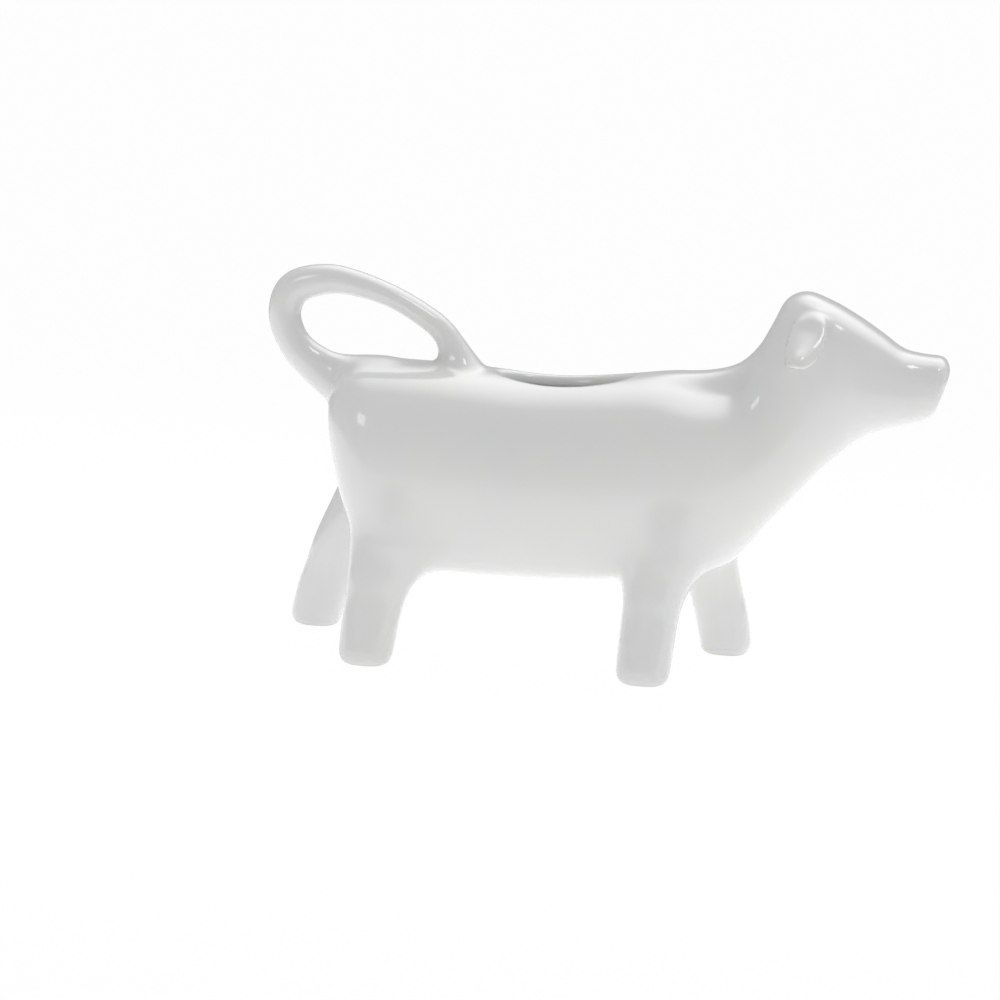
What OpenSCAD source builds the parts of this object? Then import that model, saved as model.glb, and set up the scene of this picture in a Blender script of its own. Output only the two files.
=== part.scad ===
/* [Trunk] */
// Length of the trunk, from the rump to the middle of the collar
trunk_l = 81; // [78:0.5:90]
// Width of the trunk across the barrel
trunk_w = 41; // [38:0.5:44]
// Depth of the trunk, from the belly line to the back line
trunk_d = 40.5; // [38:0.5:44]
// Height of the belly line above the table
belly_h = 17; // [15:0.5:20]
// How far the rounding of the rump reaches along the trunk
rump_r = 11.6; // [10:0.2:15]
// Squareness of the trunk's section, where 2 is an ellipse
trunk_square = 2.3; // [2:0.1:2.8]
// Wall of the cast trunk and neck
wall = 3; // [2:0.1:3.4]

/* [Filling hole] */
// Length of the oval filling hole in the back
hole_l = 26; // [20:0.5:28]
// Width of the filling hole
hole_w = 15; // [12:0.5:17]
// Distance from the rump to the middle of the filling hole
hole_x = 46.5; // [45:0.5:48]
// Radius of the rolled rim of the filling hole
rim_r = 1.2; // [0.6:0.1:1.6]

/* [Neck and head] */
// Length of the neck and head, from the middle of the collar to the nose
head_l = 41; // [38:0.5:46]
// Height of the poll, the top of the head, above the line of the back
poll_rise = 19; // [17:0.5:21]
// Width of the head across the cheeks
head_w = 22.4; // [20:0.2:25]
// Width of the muzzle
muzzle_w = 13.8; // [12.6:0.2:16]
// Depth of the muzzle, from its bridge to the chin
muzzle_d = 12.4; // [11:0.2:13]
// How far the bridge of the muzzle lies below the poll
muzzle_drop = 10.8; // [9:0.2:12]
// Squareness of the head's section, where 2 is an ellipse
head_square = 2.5; // [2:0.1:3]
// Wall of the pouring lip at the mouth
lip_wall = 2.3; // [1.8:0.1:2.6]
// Thickness of the nose above the mouth
nose_pad = 4.2; // [3:0.2:5]
// How far the chin stands back from the nose
chin_back = 3.2; // [1:0.2:4]
// How far the sloping mouth runs up from the chin
mouth_h = 8; // [6:0.5:9]

/* [Ears] */
// Length of an ear, from the side of the head to its tip
ear_l = 14.5; // [12:0.5:17]
// Width of an ear
ear_w = 7.6; // [6:0.2:9]
// Thickness of an ear
ear_t = 2.8; // [2.2:0.1:3.4]
// Depth of the hollow that cups an ear
ear_cup = 1.2; // [0.4:0.1:1.6]
// Angle at which an ear droops below level
ear_droop = 46; // [35:1:55]
// Angle at which an ear is swept back
ear_sweep = 10; // [0:1:20]

/* [Tail handle] */
// How far the bend of the tail reaches behind the rump
tail_back = 12.5; // [11:0.5:16]
// Height of the top of the tail above the line of the back
tail_rise = 18; // [15:0.5:20]
// Length of the loop, from its bend to its front root
tail_l = 36.5; // [34:0.5:38.5]
// Thickness of the tail at its bend
tail_t = 6.4; // [5:0.1:7.5]
// Width of the tail at its bend
tail_w = 7; // [5:0.1:9]

/* [Legs] */
// Length of a foot
foot_l = 10.6; // [9:0.2:12]
// Width of a foot
foot_w = 11; // [9:0.2:12]
// Radius of the rounded lower edge of a foot
foot_r = 2.4; // [1:0.1:3]
// Distance between the middles of a left and a right foot
foot_track = 35; // [31:0.5:38]
// Distance between the middles of a left and a right hip
hip_track = 29; // [25:0.5:31]
// Height of the hips above the belly line
hip_rise = 6; // [4:0.5:8]
// Distance from the rump to the middle of the two rear hips
rear_hip_x = 10.2; // [9:0.2:13]
// Distance from the middle of the two front hips to the collar
front_hip_back = 9.4; // [8:0.2:12]
// How far the rear feet stand behind their hips
rear_spread = 5.2; // [4:0.2:8]
// How far the front feet stand ahead of their hips
front_spread = 2.2; // [1:0.2:3]
// Step between the two feet of a pair, as the cow walks
foot_stride = 14.4; // [10:0.2:16]
// Step between the two rear hips
rear_hip_stride = 10; // [8:0.2:13]
// Step between the two front hips
front_hip_stride = 7; // [6:0.2:10]
// Height of the flat joint at which a leg is set under the body
leg_joint_h = 14; // [12:0.5:14.5]

/* [Fineness] */
// Points around the trunk, neck and head
skin_sides = 36; // [24:4:44]
// Rings in each stretch of the trunk, neck and head
skin_steps = 3; // [2:1:4]
// Points around the tail, a leg or an ear
limb_sides = 16; // [12:4:24]
// Rings in each stretch of the tail
tail_steps = 5; // [2:1:6]
// Rings in each stretch of a leg or an ear
limb_steps = 3; // [2:1:4]

/* [Hidden] */

// Heights of the lines that the pieces share, above the table
back_h = belly_h + trunk_d;
poll_h = back_h + poll_rise;

// How far a cut runs past the face that it opens
over = 2 * rim_r;

// One end stretch of a superellipse: how far out it has come at an angle, and how far along
rump_square = 2.8;
function round_out(angle, square) = pow(sin(angle), 2 / square);
function round_along(angle, square) = 1 - pow(cos(angle), 2 / square);

// A smooth curve through the rows of a table, read at a place between its rows
function row_before(rows, i) = i > 0 ? rows[i - 1] : 2 * rows[0] - rows[1];
function row_after(rows, i) =
    i + 2 < len(rows) ? rows[i + 2] : 2 * rows[i + 1] - rows[i];
function curve_row(rows, place) =
    let (i = min(floor(place), len(rows) - 2), t = place - i,
         a = row_before(rows, i), b = rows[i], c = rows[i + 1], d = row_after(rows, i))
    b + 0.5 * t * (c - a + t * (2 * a - 5 * b + 4 * c - d + t * (3 * b - a - 3 * c + d)));
function curve(rows, steps) =
    [for (k = [0 : steps * (len(rows) - 1)]) curve_row(rows, k / steps)];

// A closed solid over a row of rings that have as many points each, and turn to the
// left as seen from the end of the row; its first and last rings are flat
module loft(rings) {
    sides = len(rings[0]);
    last = len(rings) - 1;
    points = [for (ring = rings) each ring];
    walls = [for (j = [0 : last - 1], k = [0 : sides - 1])
        let (next = (k + 1) % sides, a = j * sides + k, b = j * sides + next,
             c = (j + 1) * sides + next, d = (j + 1) * sides + k)
        each [[a, c, b], [a, d, c]]];
    first_cap = [for (k = [0 : sides - 1]) k];
    last_cap = [for (k = [sides - 1 : -1 : 0]) last * sides + k];
    polyhedron(points = points, faces = concat([first_cap], walls, [last_cap]));
}

// One casting: its surfaces joined into a single closed skin, at their own size
module casting() {
    resize([0, 0, 0]) children();
}

// Half a space, on the side of a point that a direction in the middle plane looks to
module half_space(point, angle) {
    span = 2 * (trunk_l + head_l + tail_back);
    translate([point[0], 0, point[1]])
        rotate([0, -angle, 0])
            translate([0, -span / 2, -span / 2])
                cube(span);
}

// A station of the skin is a ring across the trunk, neck or head, written as
// reach and height of its top, reach and height of its bottom, half width, squareness
function station_ring(s, sides) =
    [for (k = [0 : sides - 1])
        let (angle = 360 * k / sides, up = cos(angle), out = sin(angle),
             rise = sign(up) * pow(abs(up), 2 / s[5]), side = sign(out) * pow(abs(out), 2 / s[5]))
        [(s[0] + s[2]) / 2 + rise * (s[0] - s[2]) / 2, -side * s[4],
         (s[1] + s[3]) / 2 + rise * (s[1] - s[3]) / 2]];
function inset(s, depth) =
    let (span = [s[0] - s[2], s[1] - s[3]], step = depth * span / norm(span))
    [s[0] - step[0], s[1] - step[1], s[2] + step[0], s[3] + step[1], s[4] - depth, s[5]];

// Trunk: reach shares of trunk_l, height shares of trunk_d above the belly, width share;
// the first station is where the rounding of the rump starts, and its reaches go by rump_r
trunk_shares = [
    [0.81, 1.005, 1.634, 0.000, 0.98],
    [0.300, 1.002, 0.335, -0.015, 1.00],
    [0.515, 0.982, 0.530, -0.014, 1.00],
    [0.705, 1.003, 0.725, 0.005, 0.995],
    [0.830, 1.038, 0.865, 0.025, 0.955],
    [0.915, 1.052, 0.960, 0.075, 0.885],
    [0.974, 1.078, 1.031, 0.173, 0.79]];
trunk_rows = [for (i = [0 : len(trunk_shares) - 1])
    let (s = trunk_shares[i], reach = i == 0 ? rump_r : trunk_l)
    [s[0] * reach, belly_h + s[1] * trunk_d, s[2] * reach, belly_h + s[3] * trunk_d,
     s[4] * trunk_w / 2, trunk_square]];

// Neck and head: reach shares of head_l past the collar, height shares of poll_rise
// above the back, then the shares of head_w and of muzzle_w in the width
neck_shares = [
    [0.021, 0.250, 0.178, -1.437, 1.27, 0],
    [0.090, 0.421, 0.296, -1.137, 1.115, 0],
    [0.146, 0.658, 0.404, -0.858, 1.03, 0],
    [0.205, 0.910, 0.502, -0.647, 0.995, 0],
    [0.300, 1.000, 0.575, -0.505, 1.00, 0],
    [0.428, 0.915, 0.644, -0.410, 0.97, 0],
    [0.553, 0.779, 0.713, -0.358, 0.80, 0.15],
    [0.669, 0.626, 0.777, -0.316, 0.50, 0.46]];
// Muzzle: reach shares of the bridge and the chin, width share, and the rise of the
// bridge and the drop of the chin as shares of the muzzle's depth
muzzle_shares = [
    [0.772, 0.833, 1.13, 0.077, 0.097],
    [0.865, 0.880, 1.03, 0.012, 0.048],
    [0.929, 0.912, 1.00, 0, 0]];
bridge_h = poll_h - muzzle_drop;
neck_rows = [for (s = neck_shares)
    [trunk_l + s[0] * head_l, back_h + s[1] * poll_rise,
     trunk_l + s[2] * head_l, back_h + s[3] * poll_rise,
     s[4] * head_w / 2 + s[5] * muzzle_w / 2, head_square]];
muzzle_rows = [for (s = muzzle_shares)
    [trunk_l + s[0] * head_l, bridge_h + s[3] * muzzle_d,
     trunk_l + s[1] * head_l, bridge_h - (1 + s[4]) * muzzle_d,
     s[2] * muzzle_w / 2, head_square]];

// The rump closes the trunk's first station, which is set in for the hollow
function rump_cap(set_in) =
    let (s = inset(trunk_rows[0], set_in), mid = [(s[0] + s[2]) / 2, (s[1] + s[3]) / 2],
         half = [(s[0] - s[2]) / 2, (s[1] - s[3]) / 2], pole = [mid[0] - rump_r + set_in, mid[1]])
    [for (angle = [2, 9, 20, 34, 50, 68])
        let (out = round_out(angle, rump_square), along = round_along(angle, rump_square),
             c = pole + along * (mid - pole))
        [c[0] + out * half[0], c[1] + out * half[1], c[0] - out * half[0], c[1] - out * half[1],
         out * s[4], s[5]]];
// The nose closes the muzzle's last station, and is blunt, for the mouth
nose_square = 2.8;
nose_row = muzzle_rows[len(muzzle_rows) - 1];
nose_mid = [(nose_row[0] + nose_row[2]) / 2, (nose_row[1] + nose_row[3]) / 2];
nose_r = trunk_l + head_l - nose_mid[0];
nose_cap = [for (angle = [66, 46, 28])
    let (out = round_out(angle, nose_square), along = round_along(angle, nose_square),
         x = trunk_l + head_l - along * nose_r)
    [x + out * (nose_row[0] - nose_mid[0]), nose_mid[1] + out * (nose_row[1] - nose_mid[1]),
     x + out * (nose_row[2] - nose_mid[0]), nose_mid[1] + out * (nose_row[3] - nose_mid[1]),
     out * nose_row[4], nose_row[5]]];

// The skin is one smooth line of stations, parted at the collar
skin_rows = concat(trunk_rows, neck_rows, muzzle_rows);
skin_line = curve(skin_rows, skin_steps);
collar_place = skin_steps * (len(trunk_rows) - 1);
collar = skin_line[collar_place];
trunk_line = [for (j = [0 : collar_place]) skin_line[j]];
head_line = [for (j = [collar_place : len(skin_line) - 1]) skin_line[j]];

// The hollow runs from the rump to the mouth, under a wall that thins towards the lip.
// Its rings lie midway between those outside, so that none falls on the collar
hollow_steps = 2;
hollow_sides = skin_sides - 8;
hollow_places = hollow_steps * (len(skin_rows) - 1);
lip = [nose_row[0], nose_row[1] - nose_pad, nose_row[2], nose_row[3] + lip_wall,
       nose_row[4] - lip_wall, nose_row[5]];
lip_run = [nose_r + over, 0, nose_r + over, 0, 0, 0];
hollow_line = concat(rump_cap(wall),
    [for (j = [0 : hollow_places - 1])
        let (place = (j + 0.5) / hollow_steps,
             head_share = max(0, place * skin_steps - collar_place) / len(head_line))
        inset(curve_row(skin_rows, place), wall + head_share * (lip_wall - wall))],
    [lip, lip + lip_run]);

// The collar is the flat joint between trunk and neck
collar_mid = [(collar[0] + collar[2]) / 2, (collar[1] + collar[3]) / 2];

// Height of the back at a reach, and how far its crown falls away to the side
back_line = [for (s = trunk_line) [s[0], s[1]]];
function back_at(x) = lookup(x, back_line);
function fall_at(y) =
    trunk_d / 2 * (1 - pow(1 - pow(abs(2 * y / trunk_w), trunk_square), 1 / trunk_square));

// The cutter of the filling hole is flat at both ends, and in between it follows the
// saddle of the back with a rolled rim
function hole_oval(grow) =
    [for (k = [0 : skin_sides - 1])
        let (angle = 360 * k / skin_sides)
        [hole_x + (hole_l / 2 + grow) * cos(angle), (hole_w / 2 + grow) * sin(angle)]];
function flat_ring(oval, z) = [for (p = oval) [p[0], p[1], z]];
function back_ring(oval, depth) =
    [for (p = oval) [p[0], p[1], back_at(p[0]) - fall_at(p[1]) - depth]];
module filling_hole() {
    loft(concat(
        [flat_ring(hole_oval(0), back_h - trunk_d / 3)],
        [for (angle = [90, 70, 50, 30])
            back_ring(hole_oval(rim_r * (1 - sin(angle))), rim_r * (1 - cos(angle)))],
        [flat_ring(hole_oval(rim_r / 2), poll_h)]));
}

// Tail: reach shares of tail_l ahead of the bend, height shares of tail_rise above the
// back, thickness and width shares of the bend's; it starts in the rump and ends in the back
tail_shares = [
    [0.540, -0.35, 2.35, 2.00],
    [0.377, -0.28, 1.84, 1.50],
    [0.215, -0.140, 1.24, 1.15],
    [0.068, 0.105, 1.00, 1.03],
    [0.000, 0.440, 1.00, 1.00],
    [0.050, 0.730, 1.06, 1.00],
    [0.225, 0.850, 0.93, 0.96],
    [0.412, 0.810, 0.78, 0.90],
    [0.615, 0.675, 0.69, 0.84],
    [0.782, 0.483, 0.70, 0.84],
    [0.881, 0.289, 0.86, 1.05],
    [0.905, 0.050, 1.90, 1.50],
    [0.917, -0.09, 2.65, 1.80]];
tail_rows = [for (s = tail_shares)
    [s[0] * tail_l - tail_back + tail_t / 2, back_h + s[1] * tail_rise,
     s[2] * tail_t / 2, s[3] * tail_w / 2]];
tail_line = curve(tail_rows, tail_steps);
function tail_heading(j) =
    let (a = tail_line[max(j - 1, 0)], b = tail_line[min(j + 1, len(tail_line) - 1)])
    atan2(b[1] - a[1], b[0] - a[0]);
tail_rings = [for (j = [0 : len(tail_line) - 1])
    let (s = tail_line[j], heading = tail_heading(j))
    [for (k = [0 : limb_sides - 1])
        let (angle = 360 * k / limb_sides, off = s[2] * cos(angle))
        [s[0] - off * sin(heading), -s[3] * sin(angle), s[1] + off * cos(heading)]]];

// The tail is set on two flat joints: across its rear root, and above the back in front
rear_joint = (tail_rows[1] + tail_rows[2]) / 2;
rear_joint_angle = atan2(tail_rows[2][1] - tail_rows[1][1], tail_rows[2][0] - tail_rows[1][0]);
front_joint = (tail_rows[10] + tail_rows[11]) / 2;
module tail_side() {
    half_space(rear_joint, rear_joint_angle);
    intersection() {
        half_space(front_joint, 90);
        half_space([hole_x - hole_l / 2, 0], 180);
    }
}

// Legs: height share from the foot to the hip, share of the way over from foot to hip,
// shares of the foot's length in a rear and in a front leg, and of the foot's width
leg_shares = [
    [0.11, 0.00, 1.00, 1.00, 1.00],
    [0.36, 0.20, 1.06, 1.03, 0.95],
    [0.58, 0.45, 1.11, 1.05, 0.95],
    [0.76, 0.70, 1.24, 1.12, 1.02],
    [0.94, 0.98, 1.40, 1.25, 1.10],
    [1.09, 1.22, 1.24, 1.24, 1.12],
    [1.32, 1.30, 0.92, 0.96, 0.92]];
hip_h = belly_h + hip_rise;
function leg_ring(z, x, y, half_l, half_w) =
    [for (k = [0 : limb_sides - 1])
        let (angle = 360 * k / limb_sides, c = cos(angle), s = sin(angle))
        [x + half_l * sign(c) * pow(abs(c), 2 / head_square),
         y + half_w * sign(s) * pow(abs(s), 2 / head_square), z]];
function leg_rings(end, foot, hip) =
    let (rows = [for (s = leg_shares)
            [s[0] * hip_h, foot[0] + s[1] * (hip[0] - foot[0]),
             foot[1] + s[1] * (hip[1] - foot[1]), (end < 0 ? s[2] : s[3]) * foot_l / 2,
             s[4] * foot_w / 2]])
    concat(
        [for (angle = [0, 30, 60])
            let (narrow = foot_r * (1 - sin(angle)))
            leg_ring(foot_r * (1 - cos(angle)), foot[0], foot[1],
                     foot_l / 2 - narrow, foot_w / 2 - narrow)],
        [for (s = curve(rows, limb_steps)) leg_ring(s[0], s[1], s[2], s[3], s[4])]);

// A leg's end is -1 for a rear leg and 1 for a front one; its side is 1 for left.
// The left feet of both pairs are stepped outwards and the right ones inwards
function hip_at(end, side) =
    [(end < 0 ? rear_hip_x : trunk_l - front_hip_back)
         + end * side * (end < 0 ? rear_hip_stride : front_hip_stride) / 2,
     side * hip_track / 2];
function foot_at(end, side) =
    [(end < 0 ? rear_hip_x - rear_spread : trunk_l - front_hip_back + front_spread)
         + end * side * foot_stride / 2,
     side * foot_track / 2];
module whole_leg(end, side) {
    loft(leg_rings(end, foot_at(end, side), hip_at(end, side)));
}
module under_joint() {
    half_space([0, leg_joint_h], -90);
}

// Ears: share of the length, shares of the width and thickness, share of the cup, and
// how far the root is sunk in the head, as a share of the thickness
ear_shares = [
    [-0.14, 0.60, 1.20, 0, 0.90],
    [-0.04, 0.66, 1.30, 0.1, 0.46],
    [0.08, 0.72, 1.30, 0.45, 0.10],
    [0.30, 0.90, 1.05, 0.90, 0],
    [0.52, 1.00, 0.95, 1.00, 0],
    [0.72, 0.92, 0.88, 0.85, 0],
    [0.88, 0.66, 0.76, 0.50, 0],
    [0.97, 0.34, 0.52, 0.18, 0]];
ear_joint_share = 0.13;
ear_root_shares = [0.335, 0.405, 0.78];
ear_root = [trunk_l + ear_root_shares[0] * head_l, ear_root_shares[1] * head_w,
            back_h + ear_root_shares[2] * poll_rise];
// Directions of the left ear: along it, across it and out of its hollow
ear_along = [-sin(ear_sweep) * cos(ear_droop), cos(ear_sweep) * cos(ear_droop), -sin(ear_droop)];
ear_across = [cos(ear_sweep), sin(ear_sweep), 0];
ear_out = cross(ear_along, ear_across) * -1;
ear_rings = [for (s = curve(ear_shares, limb_steps))
    [for (k = [0 : limb_sides - 1])
        let (angle = 360 * k / limb_sides, wide = cos(angle))
        ear_root + s[0] * ear_l * ear_along + s[1] * ear_w / 2 * wide * ear_across
            + (s[3] * ear_cup * (wide * wide - 0.5) - s[4] * ear_t
                - s[2] * ear_t / 2 * sin(angle)) * ear_out]];
module left_ear() {
    loft(ear_rings);
}
// The flat joint of the ear, square to its length
module past_ear_joint() {
    span = 2 * ear_l;
    joint = ear_root + ear_joint_share * ear_l * ear_along;
    multmatrix([for (k = [0 : 2]) [ear_across[k], ear_out[k], ear_along[k], joint[k]]])
        translate([-span / 2, -span / 2, 0])
            cube(span);
}

// All is drawn from the rump, then moved so that its origin lies under the middle
tail_end = min([for (ring = tail_rings) for (p = ring) p[0]]);
nose_end = max([for (s = nose_cap) max([for (p = station_ring(s, skin_sides)) p[0]])]);
module centred() {
    translate([-(tail_end + nose_end) / 2, 0, 0]) children();
}

module skin(line) {
    loft([for (s = line) station_ring(s, skin_sides)]);
}
module hollow() {
    loft([for (s = hollow_line) station_ring(s, hollow_sides)]);
}

// Trunk with the tops of its four legs and the two roots of its tail, cast hollow
module body_shell() {
    color("white") centred() casting()
        difference() {
            union() {
                skin(concat(rump_cap(0), trunk_line));
                for (end = [-1, 1], side = [-1, 1])
                    difference() {
                        whole_leg(end, side);
                        under_joint();
                    }
                difference() {
                    loft(tail_rings);
                    tail_side();
                }
            }
            hollow();
            filling_hole();
        }
}

// Neck and head in one, hollow from the collar to the mouth it pours from
module head_spout() {
    chin = [trunk_l + head_l - chin_back, bridge_h - muzzle_d];
    lip_angle = atan2(chin_back, mouth_h);
    color("white") centred() casting()
        difference() {
            union() {
                skin(concat(head_line, nose_cap));
                for (side = [0, 1])
                    mirror([0, side, 0])
                        difference() {
                            left_ear();
                            past_ear_joint();
                        }
            }
            hollow();
            half_space(chin, -lip_angle);
        }
}

module ear_left() {
    color("white") centred() casting()
        intersection() {
            left_ear();
            past_ear_joint();
        }
}
module ear_right() {
    color("white") centred() casting()
        mirror([0, 1, 0])
            intersection() {
                left_ear();
                past_ear_joint();
            }
}

// The tail curls forward from the rump to the back and is the finger handle
module tail_handle() {
    color("white") centred() casting()
        intersection() {
            loft(tail_rings);
            tail_side();
        }
}

module leg(end, side) {
    color("white") centred() casting()
        intersection() {
            whole_leg(end, side);
            under_joint();
        }
}
module leg_front_left() {
    leg(1, 1);
}
module leg_front_right() {
    leg(1, -1);
}
module leg_rear_left() {
    leg(-1, 1);
}
module leg_rear_right() {
    leg(-1, -1);
}

body_shell();
head_spout();
ear_left();
ear_right();
tail_handle();
leg_front_left();
leg_front_right();
leg_rear_left();
leg_rear_right();
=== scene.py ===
import bmesh
import bpy
import numpy as np
from mathutils import Matrix, Vector


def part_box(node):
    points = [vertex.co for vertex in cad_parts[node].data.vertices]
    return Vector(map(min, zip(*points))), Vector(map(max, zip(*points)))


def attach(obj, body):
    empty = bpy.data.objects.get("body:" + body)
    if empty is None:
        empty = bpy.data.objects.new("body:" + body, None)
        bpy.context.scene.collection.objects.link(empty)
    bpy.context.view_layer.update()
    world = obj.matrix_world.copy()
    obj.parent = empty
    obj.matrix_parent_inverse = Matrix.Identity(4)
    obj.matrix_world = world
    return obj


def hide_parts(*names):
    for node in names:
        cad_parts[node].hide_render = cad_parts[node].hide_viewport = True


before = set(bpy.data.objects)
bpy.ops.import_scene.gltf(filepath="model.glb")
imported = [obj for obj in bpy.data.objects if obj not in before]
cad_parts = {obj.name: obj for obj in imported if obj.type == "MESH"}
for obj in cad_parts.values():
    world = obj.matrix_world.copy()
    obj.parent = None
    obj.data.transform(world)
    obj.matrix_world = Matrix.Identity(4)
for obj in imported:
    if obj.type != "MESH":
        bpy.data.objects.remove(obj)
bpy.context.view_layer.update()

# The trunk, neck and head of the cow: hollow porcelain, cast from slip in two plaster moulds
# that share one form. Here is its outside alone, as a row of cross sections from the rump to the
# nose; the cast shells are made at the end, when all that is luted on to them has its place.
trunk_l, trunk_w, trunk_d = 81, 41, 40.5
belly_h, rump_r, rump_square, trunk_square = 17, 11.6, 2.8, 2.3
head_l, head_w, poll_rise, head_square = 41, 22.4, 19, 2.5
muzzle_w, muzzle_d, muzzle_drop, nose_square = 13.8, 12.4, 10.8, 2.8
tail_back = 12.5
back_h = belly_h + trunk_d
bridge_h = back_h + poll_rise - muzzle_drop
rump_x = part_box("tail_handle")[0][0] * 1000 + tail_back

# Shares: reach and height of the top, of the bottom, and width; the first row starts the
# rounding of the rump, so that its reaches are shares of rump_r and the others' of trunk_l
trunk_rows = np.array([
    [rump_x + a * reach, belly_h + b * trunk_d, rump_x + c * reach, belly_h + d * trunk_d,
     w * trunk_w / 2, trunk_square]
    for reach, a, b, c, d, w in (
        (rump_r, 0.81, 1.005, 1.634, 0.000, 0.98), (trunk_l, 0.300, 1.002, 0.335, -0.015, 1.00),
        (trunk_l, 0.515, 0.982, 0.530, -0.014, 1.00), (trunk_l, 0.705, 1.003, 0.725, 0.005, 0.995),
        (trunk_l, 0.830, 1.038, 0.865, 0.025, 0.955), (trunk_l, 0.915, 1.052, 0.960, 0.075, 0.885),
        (trunk_l, 0.974, 1.078, 1.031, 0.173, 0.79))])
# Shares of head_l past the collar and of poll_rise above the back, then of the two widths
collar_x = rump_x + trunk_l
neck_rows = np.array([
    [collar_x + a * head_l, back_h + b * poll_rise, collar_x + c * head_l, back_h + d * poll_rise,
     w * head_w / 2 + m * muzzle_w / 2, head_square]
    for a, b, c, d, w, m in (
        (0.021, 0.250, 0.178, -1.437, 1.27, 0), (0.090, 0.421, 0.296, -1.137, 1.115, 0),
        (0.146, 0.658, 0.404, -0.858, 1.03, 0), (0.205, 0.910, 0.502, -0.647, 0.995, 0),
        (0.300, 1.000, 0.575, -0.505, 1.00, 0), (0.428, 0.915, 0.644, -0.410, 0.97, 0),
        (0.553, 0.779, 0.713, -0.358, 0.80, 0.15), (0.669, 0.626, 0.777, -0.316, 0.50, 0.46))])
muzzle_rows = np.array([
    [collar_x + a * head_l, bridge_h + r * muzzle_d, collar_x + c * head_l,
     bridge_h - (1 + d) * muzzle_d, w * muzzle_w / 2, head_square]
    for a, c, w, r, d in ((0.772, 0.833, 1.13, 0.077, 0.097), (0.865, 0.880, 1.03, 0.012, 0.048),
                          (0.929, 0.912, 1.00, 0, 0))])
nose_x = collar_x + head_l

# The space around the cow, in millimetres, as a lattice with as much of it left as right
cell = 0.62
low = cell * np.array([-113, -42, -6])
gx, gy, gz = (low[k] + cell * np.arange(n) for k, n in enumerate((227, 85, 136)))
side_x, side_z = np.meshgrid(gx, gz, indexing="ij")


def smooth_rows(rows, steps):
    """A smooth curve through the rows of a table."""
    rows = np.asarray(rows, float)
    r = np.vstack([2 * rows[0] - rows[1], rows, 2 * rows[-1] - rows[-2]])
    place = np.linspace(0, len(rows) - 1, steps * (len(rows) - 1) + 1)
    i = np.minimum(place.astype(int), len(rows) - 2)
    t = (place - i)[:, None]
    a, b, c, d = r[i], r[i + 1], r[i + 2], r[i + 3]
    return b + 0.5 * t * (c - a + t * (2 * a - 5 * b + 4 * c - d + t * (3 * b - a - 3 * c + d)))


def in_mm(form):
    """Turns a form that is 0 on its surface into a depth: millimetres outside it, less inside."""
    slope = np.gradient(form, cell)
    return form / np.maximum(np.sqrt(sum(s * s for s in slope)), 1e-6)


def cast_form():
    """Depth of the whole casting's outside, with its rounded rump and blunt nose."""
    stations = smooth_rows(np.vstack([trunk_rows, neck_rows, muzzle_rows]), 12)
    p = np.stack([side_x.ravel(), side_z.ravel()], -1)
    top, run = stations[:, None, :2], stations[:, None, 2:4] - stations[:, None, :2]
    ahead = run[..., 0] * (p[:, 1] - top[..., 1]) - run[..., 1] * (p[:, 0] - top[..., 0])
    count = (ahead > 0).sum(0)
    i = np.clip(count - 1, 0, len(stations) - 2)
    k = np.arange(len(p))
    t = np.clip(ahead[i, k] / (ahead[i, k] - ahead[i + 1, k]), 0, 1)[:, None]
    at = stations[i] * (1 - t) + stations[i + 1] * t
    mid, half = (at[:, :2] + at[:, 2:4]) / 2, (at[:, :2] - at[:, 2:4]) / 2
    up = ((p - mid) * half).sum(1) / (half * half).sum(1)
    past = np.zeros(len(p))
    for ends, mid, reach, sign in ((count == 0, stations[0], rump_r, -1),
                                   (count == len(stations), stations[-1], None, 1)):
        middle, half = (mid[:2] + mid[2:4]) / 2, (mid[:2] - mid[2:4]) / 2
        reach = reach or nose_x - middle[0]
        tilt = (p[:, 1] - middle[1]) / half[1]
        out = sign * (p[:, 0] - middle[0] - tilt * half[0]) / reach
        up = np.where(ends, tilt, up)
        past = np.where(ends, np.maximum(out, 0), past)
    shape = (len(gx), 1, len(gz))
    up, past, wide, n = (v.reshape(shape) for v in (np.abs(up), past, at[:, 4], at[:, 5]))
    blunt = np.where(side_x[:, None] > 0, nose_square, rump_square)
    ring = up ** n + (np.abs(gy)[None, :, None] / wide) ** n
    return in_mm(((ring ** (blunt / n) + past ** blunt) ** (1 / blunt) - 1).astype(np.float32))


# The hollows beside the withers: the middle of one and its depth, how far it reaches backwards,
# forwards and up, and how far from the middle plane it starts and is full
withers_x, withers_h, withers_d = collar_x - 2, back_h - 0.5, 2.8
withers_behind, withers_ahead, withers_high = 10, 5, 4.5
withers_start, withers_full = 2, 8


def ease(share):
    """Rounds off both ends of a share that runs from 0 to 1."""
    return share * share * (3 - 2 * share)


def withers_hollows():
    """How deep the casting is hollowed on each side, where the neck rises from the shoulders."""
    past = side_x - withers_x
    along = past / np.where(past < 0, withers_behind, withers_ahead)
    bowl = withers_d * np.exp(-along ** 2 - ((side_z - withers_h) / withers_high) ** 2)
    beside = np.clip((np.abs(gy) - withers_start) / (withers_full - withers_start), 0, 1)
    return (bowl[:, None] * ease(beside)[None, :, None]).astype(np.float32)


casting = cast_form() + withers_hollows()

# Ears: cupped porcelain leaves, each pressed in a small mould and luted to the side of the
# head, so that they droop beside the cheeks.
ear_l, ear_w, ear_t, ear_cup = 14.5, 7.6, 2.8, 1.2
ear_droop, ear_sweep = np.radians(46), np.radians(10)
ear_root = np.array([collar_x + 0.335 * head_l, 0.405 * head_w, back_h + 0.78 * poll_rise])
ear_along = np.array([-np.sin(ear_sweep) * np.cos(ear_droop), np.cos(ear_sweep) * np.cos(ear_droop),
                      -np.sin(ear_droop)])
ear_across = np.array([np.cos(ear_sweep), np.sin(ear_sweep), 0])
ear_out = np.cross(ear_across, ear_along)
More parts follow.
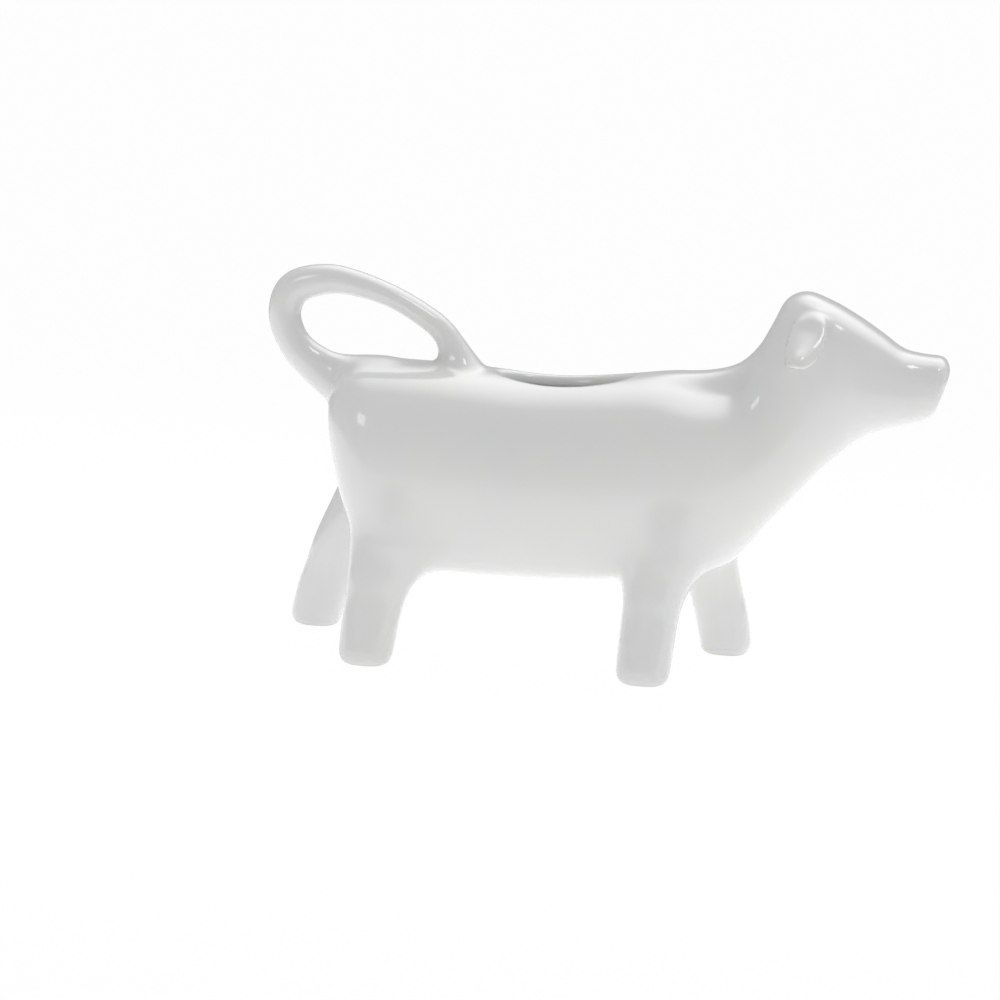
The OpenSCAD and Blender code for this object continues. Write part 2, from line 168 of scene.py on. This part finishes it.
# Shares: length, width, thickness, cup, and how far the root is sunk in the head
ear_rows = smooth_rows([
    (-0.14, 0.60, 1.20, 0, 0.90), (-0.04, 0.70, 1.30, 0.3, 0.46), (0.08, 0.82, 1.25, 0.9, 0.10),
    (0.24, 0.96, 1.00, 0.90, 0), (0.42, 1.00, 0.95, 0.3, 0), (0.62, 0.90, 0.95, -0.1, 0),
    (0.78, 0.78, 0.95, -0.4, 0), (0.90, 0.66, 0.90, -0.4, 0), (1.05, 0.50, 0.80, -0.4, 0)], 8)
ear_joint_share, ear_end_share = 0.13, 0.965
ear_joint = ear_root + ear_joint_share * ear_l * ear_along
ear_fillet, ear_tip_reach = 2.5, 5
# How far the tip bends backwards and curls outwards, how far the leaf dips inwards before it, and
# the squares of the share of the width up to which it is cupped and at which the cup is level
ear_bend, ear_curl, ear_dip, cup_end, cup_level = 0.9, 2.8, 1, 1.5, 0.5
# The roll's height and, as shares of half the ear's width, its place, shift and reach
roll_h, roll_share, roll_shift_share, roll_reach_share = 0.5, 0.5, 0.6, 0.7
# The lowest and highest corner of the space that the ears take up
ear_room = (28, -22, 56), (48, 22, 78)


def lute(a, b, reach):
    """Joins two forms with a fillet of slip."""
    near = np.maximum(1 - np.abs(a - b) / reach, 0)
    return np.minimum(a, b) - reach / 6 * near ** 3


def carve(a, b, reach):
    """Keeps what is inside both forms, with the edge between them rounded."""
    return -lute(-a, -b, reach)


def oval_depth(u, a, v, b, square=2):
    """Depth of a roll of clay whose half thicknesses are a along u and b along v."""
    u, v = np.abs(u) / a, np.abs(v) / b
    size = np.maximum((u ** square + v ** square) ** (1 / square), 1e-3)
    slope = np.hypot(u ** (square - 1) / a, v ** (square - 1) / b) / size ** (square - 1)
    return ((size - 1) / np.maximum(slope, 1e-3)).astype(np.float32)


def ear_form():
    """Depth of both ears, which are alike on the two sides of the middle plane."""
    x, y, z = np.meshgrid(gx, np.abs(gy), gz, indexing="ij")
    p = [x - ear_root[0], y - ear_root[1], z - ear_root[2]]
    along, across, out = (sum(d[k] * p[k] for k in range(3)) for d in (ear_along, ear_across, ear_out))
    share = along / ear_l
    wide, thick, cup, sunk = (np.interp(share, ear_rows[:, 0], ear_rows[:, k]) for k in (1, 2, 3, 4))
    bend = np.clip(share, 0, 1)
    across = across + ear_bend * bend ** 2
    u = across / (wide * ear_w / 2)
    bent = out - ear_curl * bend ** 2 + ear_dip * bend + sunk * ear_t
    bent = bent - cup * ear_cup * (np.minimum(u * u, cup_end) - cup_level)
    # a thicker roll runs from the front edge at the root to the middle of the tip
    roll = (u - roll_share + roll_shift_share * share) / roll_reach_share
    depth = oval_depth(across, wide * ear_w / 2, bent - roll_h * np.exp(-roll ** 2), thick * ear_t / 2)
    depth = carve(depth, along - ear_end_share * ear_l, ear_tip_reach)
    return np.maximum(depth, ear_rows[0, 0] * ear_l - along).astype(np.float32)


ears = ear_form()
headed = lute(casting, ears, ear_fillet)


def feel(field, points):
    """A field and its slope at any points, through smooth curves over its lattice."""
    place = (points - low) / cell
    corner = np.floor(place).astype(int)
    f = place - corner
    g = 1 - f
    weight = np.stack([g ** 3, 3 * f ** 3 - 6 * f ** 2 + 4, 3 * g ** 3 - 6 * g ** 2 + 4, f ** 3]) / 6
    change = np.stack([-g ** 2, 3 * f ** 2 - 4 * f, 4 * g - 3 * g ** 2, f ** 2]) / 2
    nx, ny, nz = field.shape
    flat = field.ravel()
    value, slope = np.zeros(len(points)), np.zeros((len(points), 3))
    for a in range(4):
        for b in range(4):
            start = ((corner[:, 0] + a - 1) * ny + corner[:, 1] + b - 1) * nz + corner[:, 2] - 1
            line = [flat[start + c] for c in range(4)]
            along = sum(weight[c, :, 2] * line[c] for c in range(4))
            rise = sum(change[c, :, 2] * line[c] for c in range(4))
            value += weight[a, :, 0] * weight[b, :, 1] * along
            slope[:, 0] += change[a, :, 0] * weight[b, :, 1] * along
            slope[:, 1] += weight[a, :, 0] * change[b, :, 1] * along
            slope[:, 2] += weight[a, :, 0] * weight[b, :, 1] * rise
    return value, slope / cell


def past_ear_joint(p):
    """Above 0 in an ear, past its joint and out of the head."""
    q = p * [1, 0, 1] + np.abs(p) * [0, 1, 0] - ear_joint
    return np.minimum(q @ ear_along, feel(casting, p)[0] - feel(ears, p)[0])


def settle(field, points, times=2):
    """Moves points on to the surface of a form, by short steps."""
    least_slope = 0.3
    for _ in range(times):
        value, slope = feel(field, points)
        step = value / np.maximum((slope * slope).sum(1), least_slope)
        points = points - np.clip(step, -cell, cell)[:, None] * slope
    return points


def skin_of(field, box):
    """The surface of a form inside a box, as points on it and triangles that face outwards."""
    first = np.maximum(np.floor((np.array(box[0]) - low) / cell).astype(int), 2)
    last = np.minimum(np.ceil((np.array(box[1]) - low) / cell).astype(int), np.array(field.shape) - 2)
    part = field[first[0]:last[0], first[1]:last[1], first[2]:last[2]].copy()
    # where the corners of a lattice square are inside and outside by turns, two sheets would
    # share an edge, so the corner nearest to the surface changes side
    for u, v in ((0, 1), (0, 2), (1, 2), (0, 1)):
        a = np.moveaxis(part, (u, v), (0, 1))
        inside = a < 0
        turns = (inside[:-1, :-1] == inside[1:, 1:]) & (inside[1:, :-1] == inside[:-1, 1:])
        for i, j, k in np.argwhere(turns & (inside[:-1, :-1] != inside[1:, :-1])):
            square = np.abs(a[i:i + 2, j:j + 2, k])
            i, j = np.array([i, j]) + np.unravel_index(np.argmin(square), (2, 2))
            a[i, j, k] *= -0.1
    n = np.array(part.shape)
    total, hits = np.zeros((n.prod(), 3)), np.zeros(n.prod())
    quads = []
    for axis in range(3):
        a = np.moveaxis(part, axis, 0)
        crossing = np.moveaxis((a[:-1] < 0) != (a[1:] < 0), 0, axis)
        at = np.argwhere(crossing)
        at = at[((at > 0) & (at < n - 1)).all(1)]
        step = np.eye(3, dtype=int)[axis]
        here, there = part[tuple(at.T)], part[tuple((at + step).T)]
        point = at + (here / (here - there))[:, None] * step
        one, two = np.eye(3, dtype=int)[(axis + 1) % 3], np.eye(3, dtype=int)[(axis + 2) % 3]
        around = [np.ravel_multi_index(tuple((at - u * one - v * two).T), n)
                  for u, v in ((0, 0), (1, 0), (1, 1), (0, 1))]
        for c in around:
            np.add.at(total, c, point)
            np.add.at(hits, c, 1)
        quad = np.stack(around, -1)
        quads.append(np.where((here < 0)[:, None], quad, quad[:, ::-1]))
    quads = np.concatenate(quads)
    used = np.nonzero(hits)[0]
    points = low + cell * (first + total[used] / hits[used, None])
    quads = np.searchsorted(used, quads)
    points = settle(field, points)
    p = points[quads]
    short = ((p[:, 0] - p[:, 2]) ** 2).sum(1) < ((p[:, 1] - p[:, 3]) ** 2).sum(1)
    cut = np.where(short[:, None], [[0, 1, 2, 0, 2, 3]], [[0, 1, 3, 1, 2, 3]])
    return points, np.take_along_axis(quads, cut, 1).reshape(-1, 3)


def part_at(field, points, tris, beyond):
    """Keeps the skin where beyond is above 0, with a clean edge, and closes that edge by lids."""
    side = beyond(points)
    edges = np.unique(np.sort(tris[:, [0, 1, 1, 2, 2, 0]].reshape(-1, 2), 1), axis=0)
    edges = edges[side[edges[:, 0]] * side[edges[:, 1]] < 0]
    nearer = np.abs(side[edges[:, 0]]) < np.abs(side[edges[:, 1]])
    moved = np.unique(np.where(nearer, edges[:, 0], edges[:, 1]))
    p = points[moved]
    nudge, least_slope = 0.01, 0.05
    for _ in range(3):
        p = settle(field, p, 1)
        out = feel(field, p)[1]
        out /= np.linalg.norm(out, axis=1)[:, None]
        slope = np.stack([beyond(p + n) - beyond(p - n) for n in nudge * np.eye(3)], -1) / (2 * nudge)
        slope -= (slope * out).sum(1)[:, None] * out
        p = p - (beyond(p) / np.maximum((slope * slope).sum(1), least_slope))[:, None] * slope
    points = points.copy()
    points[moved] = p
    side[moved] = 0
    level = side[tris]
    flat = (level == 0).all(1)
    keep = (level > 0).any(1) | (flat & (beyond(points[tris].mean(1)) > 0))
    tris = tris[keep]
    # the open edges are loops; loops in one plane share a flat lid, so that it may have a hole.
    # Planes are one if their ways agree to a tenth and their distances to plane_step tenths of 1 mm
    pairs = tris[:, [0, 1, 1, 2, 2, 0]].reshape(-1, 2)
    code, back = pairs[:, 0] * len(points) + pairs[:, 1], pairs[:, 1] * len(points) + pairs[:, 0]
    onward = dict(pairs[~np.isin(code, back) & (side[pairs] == 0).all(1)].tolist())
    rims, plane_step = {}, 4
    while onward:
        loop = [next(iter(onward))]
        while loop[-1] in onward:
            loop.append(onward.pop(loop[-1]))
        at = points[loop[1:]]
        square = np.linalg.svd(at - at.mean(0))[2][2]
        square = square * np.sign(square[np.argmax(np.abs(square))])
        plane = tuple(np.round(np.append(square, square @ at.mean(0) / plane_step), 1))
        rims.setdefault(plane, []).append(loop)
    lids = []
    for loops in rims.values():
        bm = bmesh.new()
        verts = {i: bm.verts.new(points[i]) for loop in loops for i in loop[1:]}
        names = list(verts)
        bm.verts.index_update()
        rim = [bm.edges.new((verts[a], verts[b])) for loop in loops for a, b in zip(loop, loop[1:])]
        bmesh.ops.triangle_fill(bm, use_beauty=True, edges=rim)
        lid = np.array([[names[v.index] for v in f.verts] for f in bm.faces])
        bm.free()
        # a lid turns against the skin along the rim that they share
        turns = {pair for loop in loops for pair in zip(loop, loop[1:])}
        same = sum(((a, b) in turns) - ((b, a) in turns)
                   for f in lid for a, b in zip(f, np.roll(f, -1)))
        lids.append(lid[:, ::-1] if same > 0 else lid)
    return points, tris, lids


# The glaze: colours of the bare clay and of the glaze where it lies thin and thick, how rough the
# two are, and the heights in metres between which the glaze starts above the sole
bare_clay, thin_glaze, thick_glaze = (0.80, 0.78, 0.74), (0.890, 0.888, 0.880), (0.874, 0.878, 0.878)
bare_rough, glaze_rough, coat_rough, glaze_ior = 0.75, 0.10, 0.12, 1.52
bare_top, glaze_foot = 0.0003, 0.0007


def spread(tree, value, ends, new_ends, kind="LINEAR"):
    """Turns one range of a value into another in a node tree."""
    node = tree.nodes.new("ShaderNodeMapRange")
    node.interpolation_type = kind
    for name, end in zip(("From Min", "From Max", "To Min", "To Max"), ends + new_ends):
        node.inputs[name].default_value = end
    tree.links.new(value, node.inputs["Value"])
    return node.outputs["Result"]


def white_glaze():
    """Bone-white porcelain under a clear, slightly uneven glaze; the soles are wiped bare."""
    glaze = bpy.data.materials.new("white_glaze")
    glaze.use_nodes = True
    tree = glaze.node_tree
    nodes, links = tree.nodes, tree.links
    skin = nodes["Principled BSDF"]
    skin.inputs["IOR"].default_value = glaze_ior
    skin.inputs["Coat Roughness"].default_value = coat_rough
    where = nodes.new("ShaderNodeTexCoord")

    def noise(scale, detail):
        n = nodes.new("ShaderNodeTexNoise")
        n.inputs["Scale"].default_value = scale
        n.inputs["Detail"].default_value = detail
        links.new(where.outputs["Object"], n.inputs["Vector"])
        return n.outputs["Fac"]

    def blend(factor, a, b):
        m = nodes.new("ShaderNodeMix")
        m.data_type = "RGBA"
        links.new(factor, m.inputs["Factor"])
        for socket, colour in ((m.inputs["A"], a), (m.inputs["B"], b)):
            if isinstance(colour, tuple):
                socket.default_value = colour + (1,)
            else:
                links.new(colour, socket)
        return m.outputs["Result"]

    height = nodes.new("ShaderNodeSeparateXYZ")
    links.new(where.outputs["Object"], height.inputs[0])
    glazed = spread(tree, height.outputs["Z"], (bare_top, glaze_foot), (0, 1))
    # where the glaze lies thicker it is a little cooler
    pooled = spread(tree, noise(38, 3), (0.4, 0.6), (0, 1))
    body = blend(pooled, thin_glaze, thick_glaze)
    links.new(blend(glazed, bare_clay, body), skin.inputs["Base Color"])
    links.new(spread(tree, glazed, (0, 1), (bare_rough, glaze_rough)), skin.inputs["Roughness"])
    links.new(glazed, skin.inputs["Coat Weight"])
    # the glaze sags in soft waves, with a finer orange peel over them
    waves, peel = nodes.new("ShaderNodeBump"), nodes.new("ShaderNodeBump")
    for bump, scale, strength, distance in ((waves, 120, 0.5, 0.0001), (peel, 900, 0.35, 0.00001)):
        links.new(noise(scale, 2), bump.inputs["Height"])
        bump.inputs["Strength"].default_value = strength
        bump.inputs["Distance"].default_value = distance
    links.new(waves.outputs["Normal"], peel.inputs["Normal"])
    links.new(peel.outputs["Normal"], skin.inputs["Normal"])
    links.new(peel.outputs["Normal"], skin.inputs["Coat Normal"])
    return glaze


def make_piece(name, field, points, tris, lids, node, glaze):
    """A finished piece of the cow, which stands for the node of the same place."""
    faces = np.vstack([tris] + lids)
    used = np.unique(faces)
    mesh = bpy.data.meshes.new(name)
    mesh.from_pydata((points[used] / 1000).tolist(), [], np.searchsorted(used, faces).tolist())
    out = feel(field, points[used])[1]
    out /= np.linalg.norm(out, axis=1)[:, None]
    loops = out[np.searchsorted(used, faces)]
    corner = points[faces]
    flat = np.cross(corner[:, 1] - corner[:, 0], corner[:, 2] - corner[:, 0])
    flat /= np.maximum(np.linalg.norm(flat, axis=1), 1e-9)[:, None]
    loops[len(tris):] = flat[len(tris):, None]
    mesh.polygons.foreach_set("use_smooth", np.ones(len(faces), bool))
    mesh.normals_split_custom_set(loops.reshape(-1, 3))
    mesh.materials.append(glaze)
    piece = bpy.data.objects.new(name, mesh)
    bpy.context.scene.collection.objects.link(piece)
    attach(piece, "root")
    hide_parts(node)


glaze = white_glaze()
ear_skin = skin_of(headed, ear_room)
for name, side in (("ear_left", 1), ("ear_right", -1)):
    def in_this_ear(p):
        return np.minimum(past_ear_joint(p), side * p[:, 1])
    make_piece(name + "_leaf", headed, *part_at(headed, *ear_skin, in_this_ear), name, glaze)

# Tail: a solid roll of porcelain, drawn out of the rump, curled forward and set down on the
# back between the rump and the filling hole, with a fillet of slip at both of its roots.
tail_l, tail_rise, tail_t, tail_w = 36.5, 18, 6.4, 7
tail_rows = np.array([
    [rump_x - tail_back + tail_t / 2 + a * tail_l, back_h + b * tail_rise, t * tail_t / 2, w * tail_w / 2]
    for a, b, t, w in (
        (0.540, -0.35, 2.10, 2.00), (0.377, -0.28, 1.70, 1.50), (0.215, -0.140, 1.24, 1.15),
        (0.068, 0.105, 1.00, 1.03), (0.000, 0.440, 1.00, 1.00), (0.050, 0.730, 1.06, 1.00),
        (0.225, 0.850, 0.93, 0.96), (0.412, 0.810, 0.78, 0.90), (0.615, 0.675, 0.69, 0.84),
        (0.793, 0.475, 0.72, 0.84), (0.870, 0.345, 0.75, 0.86), (0.905, 0.245, 0.82, 0.95),
        (0.931, 0.140, 0.96, 1.10), (0.948, 0.030, 1.20, 1.35), (0.959, -0.08, 1.50, 1.60))])
tail_fillet = 3
# The tail is measured only behind and above these two planes; past them it counts as far away
tail_end_x, tail_low_h, far_away, any_size = -10, 35, 40.0, 3.0
rear_joint = (tail_rows[1, :2] + tail_rows[2, :2]) / 2
rear_way = (tail_rows[2, :2] - tail_rows[1, :2]) / np.linalg.norm(tail_rows[2, :2] - tail_rows[1, :2])
front_joint_share = 0.1695
front_joint_h = back_h + front_joint_share * tail_rise
hole_x, hole_l = 46.5, 26
tail_room = (-69, -9, 44), (-19, 9, 78)


def tail_form():
    """Depth of the tail, an oval roll along its curve."""
    line = smooth_rows(tail_rows, 30)
    p = np.stack([side_x.ravel(), side_z.ravel()], -1)
    close = (p[:, 0] < tail_end_x) & (p[:, 1] > tail_low_h)
    gap = np.full(len(p), far_away)
    size = np.full((len(p), 2), any_size)
    d = np.linalg.norm(p[close][:, None] - line[None, :, :2], axis=2)
    nearest = np.argmin(d - line[:, 2], axis=1)
    gap[close], size[close] = d[np.arange(len(d)), nearest], line[nearest, 2:]
    shape = (len(gx), 1, len(gz))
    return oval_depth(gap.reshape(shape), size[:, 0].reshape(shape), gy[None, :, None],
                      size[:, 1].reshape(shape))


def past_tail_joints(p):
    """Above 0 in the tail, between its two joints."""
    rear = (p[:, [0, 2]] - rear_joint) @ rear_way
    front = np.minimum(p[:, 2] - front_joint_h, rump_x + hole_x - hole_l / 2 - p[:, 0])
    return np.maximum(rear, front)


tailed = lute(headed, tail_form(), tail_fillet)
tail_skin = skin_of(tailed, tail_room)
make_piece("tail_handle_loop", tailed, *part_at(tailed, *tail_skin, past_tail_joints),
           "tail_handle", glaze)

# Legs: four solid porcelain legs, the left and right ones stepped apart as the cow walks.
# They are luted under the trunk and stand on flat soles with a rounded lower edge.
foot_l, foot_w, foot_r, foot_track, foot_stride = 10.6, 11, 2.4, 35, 14.4
hip_track, hip_rise, rear_hip_stride, front_hip_stride = 29, 6, 10, 7
rear_hip_x, front_hip_back, rear_spread, front_spread = 10.2, 9.4, 5.2, 2.2
leg_joint_h, leg_fillet, haunch_fillet, leg_top_reach, sole_reach = 14, 8, 13, 6, 1.76 * foot_r
hip_h, leg_margin = belly_h + hip_rise, 3
# Shares of hip_h between which a leg's section turns oval and its fillet fades to fade_end, and
# of foot_l over which the fillet grows into the haunch's
oval_shares, fade_shares, fade_end, haunch_share = (0.7, 1.2), (1.04, 1.6), 0.4, 1.6
# Shares: height, way over from foot to hip, length of a rear and a front leg, width
leg_rows = smooth_rows([
    (0.11, 0.00, 1.00, 1.00, 1.00), (0.36, 0.20, 1.06, 1.03, 0.95), (0.58, 0.45, 1.11, 1.05, 0.95),
    (0.76, 0.70, 1.24, 1.12, 1.02), (0.94, 0.98, 1.34, 1.22, 1.05), (1.09, 1.15, 1.30, 1.22, 1.03),
    (1.32, 1.22, 0.98, 1.14, 0.91), (1.58, 1.28, 0.56, 1.00, 0.68)], 8)


def leg_form(end, side):
    """Depth of one leg, and the reach of its fillet: end is -1 for rear, side is 1 for left."""
    hip = np.array([rump_x + (rear_hip_x if end < 0 else trunk_l - front_hip_back)
                    + end * side * (rear_hip_stride if end < 0 else front_hip_stride) / 2,
                    side * hip_track / 2])
    foot = np.array([rump_x + (rear_hip_x - rear_spread if end < 0 else
                               trunk_l - front_hip_back + front_spread)
                     + end * side * foot_stride / 2, side * foot_track / 2])
    over, length, width = (np.interp(gz / hip_h, leg_rows[:, 0], leg_rows[:, k])
                           for k in (1, 2 if end < 0 else 3, 4))
    x = gx[:, None, None] - foot[0] - over * (hip[0] - foot[0])
    y = gy[None, :, None] - foot[1] - over * (hip[1] - foot[1])
    square = np.interp(gz / hip_h, oval_shares, (head_square, 2))
    depth = oval_depth(x, length * foot_l / 2, y, width * foot_w / 2, square)
    sole, top = -gz[None, None], (gz - leg_rows[-1, 0] * hip_h)[None, None]
    depth = carve(carve(depth, top, leg_top_reach), sole, sole_reach).astype(np.float32)
    # ahead it runs into the belly or the chest in a wide curve; up the flank the slip is
    # smoothed away
    ahead = np.clip((gx - hip[0]) / (haunch_share * foot_l) + 0.5, 0, 1)[:, None, None]
    reach = leg_fillet + (haunch_fillet - leg_fillet) * ease(ahead)
    fade = np.interp(gz / hip_h, fade_shares, (1, fade_end))[None, None]
    return depth, (reach * fade).astype(np.float32)


clay = tailed
for end, end_name in ((-1, "rear"), (1, "front")):
    for side, side_name in ((-1, "right"), (1, "left")):
        clay = lute(clay, *leg_form(end, side))
        name = f"leg_{end_name}_{side_name}"
        low_corner, high_corner = (1000 * np.array(c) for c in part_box(name))
        leg_skin = skin_of(clay, (low_corner - leg_margin, high_corner + leg_margin))
        make_piece(name + "_post", clay,
                   *part_at(clay, *leg_skin, lambda p: leg_joint_h - p[:, 2]), name, glaze)

# Trunk: the barrel of the cow, drained of slip when its wall has set, so that it is hollow.
# The oval filling hole is cut in its back, and its edge is sponged to a rolled rim.
wall, lip_wall, nose_pad, hole_w, rim_r = 3, 2.3, 4.2, 15, 1.2
hole_lean, hole_fillet, mouth_fillet = 0.35, 1.5, 3
trunk_room = (-70, -26, -2), (46, 26, 64)
thinning = np.interp(gx, [collar_x, nose_x], [wall, lip_wall])[:, None, None]
oval = oval_depth(gx[:, None, None] - rump_x - hole_x, hole_l / 2, gy[None, :, None], hole_w / 2)
# the cut leans inwards, as the knife is held
oval = oval + hole_lean * np.clip(back_h - gz, 0, 2 * wall)[None, None]
hole = np.maximum(oval, (back_h - trunk_d / 2 - gz)[None, None]).astype(np.float32)
mouth_mid = bridge_h - (muzzle_d + nose_pad - lip_wall) / 2
mouth_half = (muzzle_d - nose_pad - lip_wall) / 2
channel = oval_depth(gy[None, :, None], muzzle_w / 2 - lip_wall, (gz - mouth_mid)[None, None],
                     mouth_half, head_square)
channel = np.maximum(channel, (nose_x - head_l / 3 - gx)[:, None, None])
hollow = lute((casting + thinning).astype(np.float32), hole, hole_fillet)
hollow = lute(hollow, channel.astype(np.float32), mouth_fillet)
shell = carve(clay, -hollow, 2 * rim_r)
collar_top, collar_foot = trunk_rows[-1, :2], trunk_rows[-1, 2:4]
collar_way = np.array([collar_top[1] - collar_foot[1], collar_foot[0] - collar_top[0]])
collar_way /= np.linalg.norm(collar_way)


def past_collar(p):
    """Above 0 in front of the flat joint between the trunk and the neck."""
    return (p[:, [0, 2]] - collar_top) @ collar_way


points, tris = skin_of(shell, trunk_room)
lids = []
for beyond in (lambda p: p[:, 2] - leg_joint_h, lambda p: -past_tail_joints(p),
               lambda p: -past_collar(p)):
    points, tris, more = part_at(shell, points, tris, beyond)
    lids += more
make_piece("body_shell_cast", shell, points, tris, lids, "body_shell", glaze)

# Neck and head: the second hollow casting, luted to the trunk at the collar. Its hollow runs
# on to the mouth, where the nose is cut at a slope and the cream pours out.
chin_back, mouth_h, nose_reach, lip_reach = 3.2, 8, 1.2, 1.4
head_room = (12, -18, 18), (69, 18, 79)
chin, lip_angle = np.array([nose_x - chin_back, bridge_h - muzzle_d]), np.arctan2(chin_back, mouth_h)
past_chin = (np.cos(lip_angle) * (gx[:, None, None] - chin[0])
             - np.sin(lip_angle) * (gz[None, None] - chin[1])).astype(np.float32)
spout = carve(carve(clay, past_chin, nose_reach), -hollow, lip_reach)
points, tris = skin_of(spout, head_room)
lids = []
for beyond in (past_collar, lambda p: -past_ear_joint(p)):
    points, tris, more = part_at(spout, points, tris, beyond)
    lids += more
make_piece("head_spout_cast", spout, points, tris, lids, "head_spout", glaze)

# Floor, light and camera: the cow stands on a pale table in an even white light tent, with a
# soft light over its back. To the camera both are white, but the table keeps a little shadow.
# The table's colour and glow are a painted pool of light: full up to lit_near from its middle and gone
# from lit_far, both in metres.
lit_near, lit_far, unlit_colour, lit_colour, unlit_glow, lit_glow = 0.09, 0.42, 0.3, 0.9, 0.22, 0.3
table_rough, seen_white = 0.9, 0.97
bpy.ops.mesh.primitive_plane_add(size=6)
floor = bpy.context.object
floor.name = "floor"
pale = bpy.data.materials.new("pale_floor")
pale.use_nodes = True
tree = pale.node_tree
nodes, links = tree.nodes, tree.links
table = nodes["Principled BSDF"]
table.inputs["Roughness"].default_value = table_rough
table.inputs["Emission Color"].default_value = (1, 1, 1, 1)
white, seen, path, where, part, away, whiteness = (nodes.new("ShaderNode" + kind) for kind in (
    "Emission", "MixShader", "LightPath", "TexCoord", "SeparateXYZ", "Math", "Math"))
# a painted pool of light: the table's colour and glow are lighter in its middle and fade towards its
# front and back
away.operation = "ABSOLUTE"
links.new(where.outputs["Object"], part.inputs[0])
links.new(part.outputs["Y"], away.inputs[0])
lit = spread(tree, away.outputs[0], (lit_near, lit_far), (1, 0), "SMOOTHSTEP")
links.new(spread(tree, lit, (0, 1), (unlit_colour, lit_colour)), table.inputs["Base Color"])
# the painted glow lights the cow from below, as a lamp under the table would, though the table is no lamp
links.new(spread(tree, lit, (0, 1), (unlit_glow, lit_glow)), table.inputs["Emission Strength"])
whiteness.operation = "MULTIPLY"
whiteness.inputs[1].default_value = seen_white
links.new(path.outputs["Is Camera Ray"], whiteness.inputs[0])
links.new(whiteness.outputs[0], seen.inputs["Fac"])
links.new(table.outputs[0], seen.inputs[1])
links.new(white.outputs[0], seen.inputs[2])
links.new(seen.outputs[0], nodes["Material Output"].inputs["Surface"])
floor.data.materials.append(pale)

world = bpy.data.worlds.new("light_tent")
bpy.context.scene.world = world
world.use_nodes = True
tree = world.node_tree
nodes, links = tree.nodes, tree.links
where, path, both, total = (nodes.new("ShaderNode" + kind) for kind in (
    "TexCoord", "LightPath", "Math", "Math"))
# the way towards a part of the tent, how far it reaches and how light it is: the whole tent, a
# touch lighter at its back, and the place over the cow where a lamp shines through
for socket, way, ends, light in ((both.inputs[0], (0, 1, 0), (-0.9, 0.5), (0.46, 0.48)),
                                 (both.inputs[1], (0.2, 0.5, 0.84), (0.75, 1), (0, 1.5))):
    toward = nodes.new("ShaderNodeVectorMath")
    toward.operation = "DOT_PRODUCT"
    toward.inputs[1].default_value = way
    links.new(where.outputs["Generated"], toward.inputs[0])
    links.new(spread(tree, toward.outputs["Value"], ends, light, "SMOOTHSTEP"), socket)
total.operation = "MAXIMUM"
links.new(both.outputs[0], total.inputs[0])
links.new(path.outputs["Is Camera Ray"], total.inputs[1])
nodes["Background"].inputs["Color"].default_value = (1, 1, 1, 1)
links.new(total.outputs[0], nodes["Background"].inputs["Strength"])

# Two soft square lamps look at the cow: place and side in metres, power in watts
cow_middle = Vector((0, 0, 0.04))
for name, place, size, watts in (("left_window", (-0.45, -0.75, 0.75), 0.28, 0.5),
                                 ("right_window", (0.45, -0.2, 1.0), 0.22, 0.6)):
    light = bpy.data.lights.new(name, "AREA")
    light.shape, light.size, light.energy = "SQUARE", size, watts
    lamp = bpy.data.objects.new(name, light)
    bpy.context.scene.collection.objects.link(lamp)
    lamp.location = place
    lamp.rotation_euler = (Vector(place) - cow_middle).to_track_quat("Z", "Y").to_euler()

# The camera stands on the right side of the cow, a little above its back. Its azimuth, elevation
# and distance in metres are counted from the pivot, and it looks at a point near that
azimuth, elevation, roll, distance = np.radians(3.864), np.radians(9.679), np.radians(3.139), 0.9
pivot, aim = np.array([0, 0, 0.037]), np.array([-0.01939, 0, 0.03112])
place = pivot + distance * np.array([
    np.sin(azimuth) * np.cos(elevation), -np.cos(azimuth) * np.cos(elevation), np.sin(elevation)])
ahead = aim - place
ahead /= np.linalg.norm(ahead)
across = np.cross(ahead, [0, 0, 1])
across /= np.linalg.norm(across)
upward = np.cross(across, ahead)
turned = across * np.cos(roll) + upward * np.sin(roll)
upward = upward * np.cos(roll) - across * np.sin(roll)
camera = bpy.data.objects.new("camera", bpy.data.cameras.new("camera"))
bpy.context.scene.collection.objects.link(camera)
camera.matrix_world = Matrix([[turned[k], upward[k], -ahead[k], place[k]] for k in range(3)]
                             + [[0, 0, 0, 1]])
camera.data.sensor_width, camera.data.lens, camera.data.clip_start = 36, 164.15, 0.01
bpy.context.scene.camera = camera
bpy.context.scene.view_settings.view_transform = "Standard"
